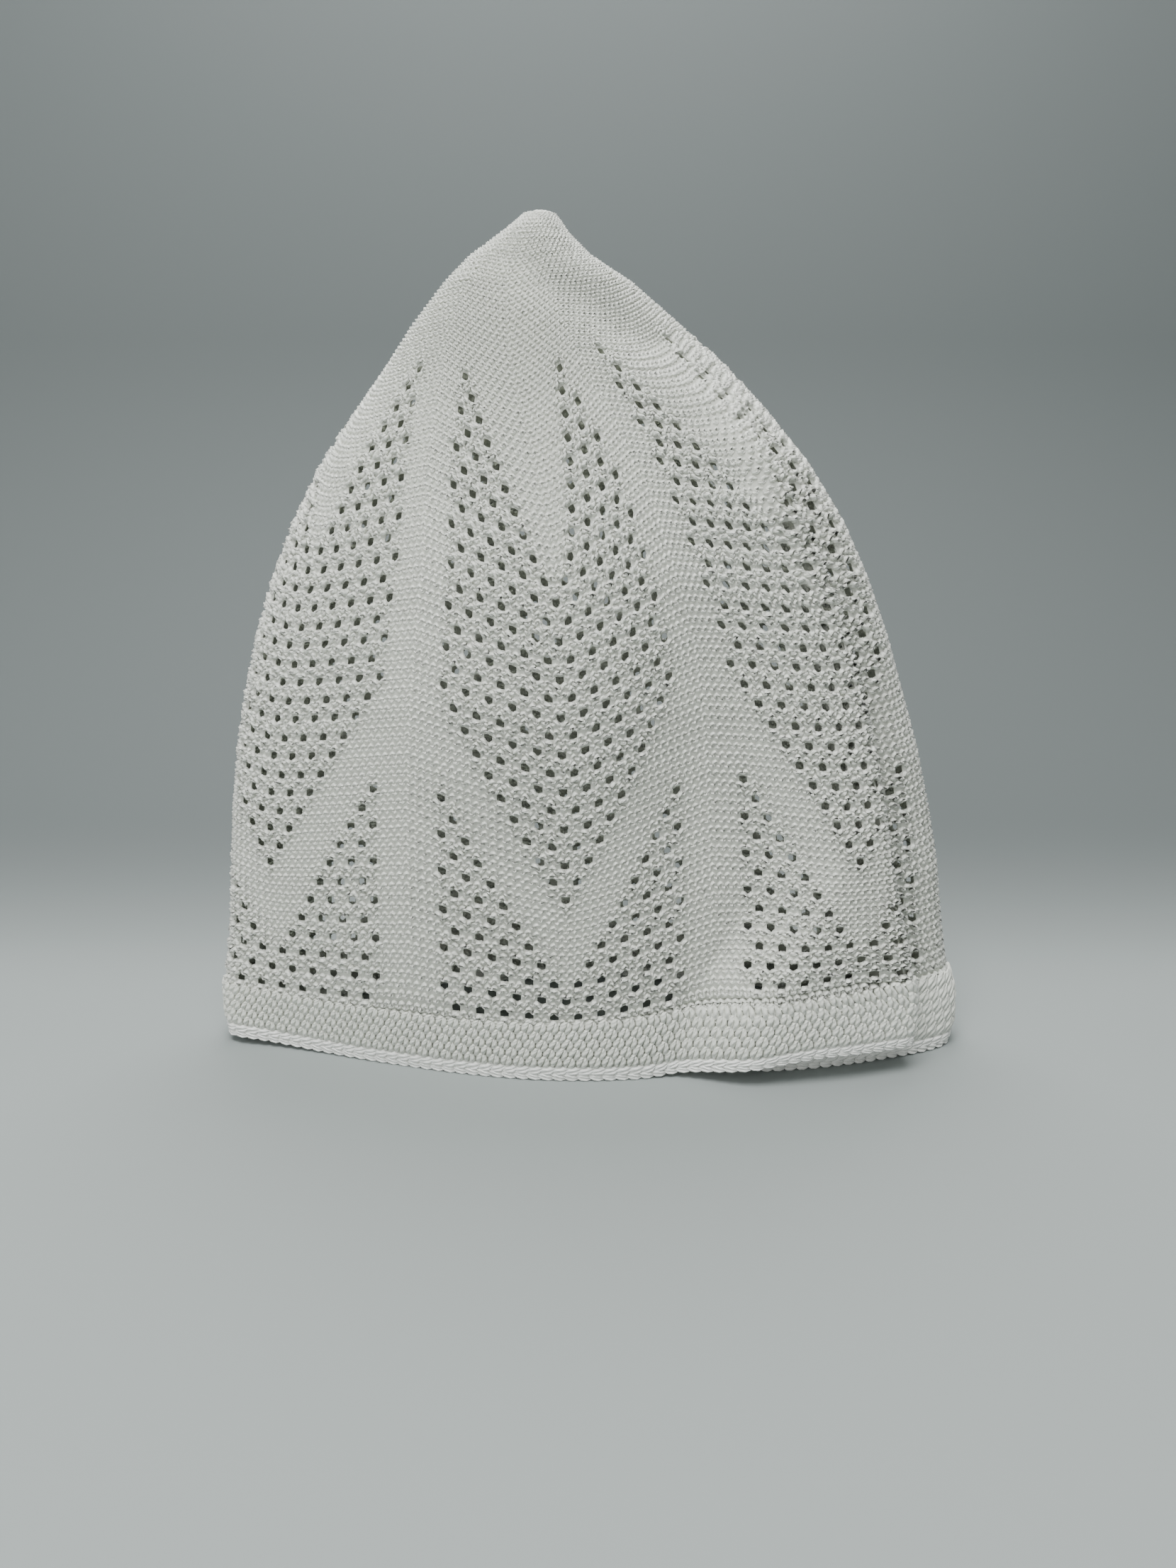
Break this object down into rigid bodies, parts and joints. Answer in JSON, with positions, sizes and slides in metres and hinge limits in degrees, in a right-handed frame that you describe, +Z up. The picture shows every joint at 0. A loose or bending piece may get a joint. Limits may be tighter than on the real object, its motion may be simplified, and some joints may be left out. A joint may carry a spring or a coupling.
{
  "type": "knitted prayer cap",
  "caption": "Soft knitted lace prayer cap standing on its rim, pressed flat front to back, with one deep pleat, a stitched band, a crocheted edge and an open head hollow.",
  "frame": {"origin": "on the surface it stands on, below the middle of the cap's outer box", "axes": "+X to the viewer's right along the flattened cap, the pleat is near +X; +Y away from the viewer; +Z up from the rim to the tip"},
  "size_m": [0.2112, 0.0834, 0.2227],
  "materials": {
    "crown_yarn": "white lace knit in glossy twisted yarn",
    "band_yarn": "white thick slanted stitches, slightly glossy",
    "edge_yarn": "white crocheted chain edge, slightly glossy"
  },
  "bodies": {
    "root": {"crown": "crown_yarn", "rim_band": "band_yarn", "hem_edge": "edge_yarn"}
  },
  "joints": []
}
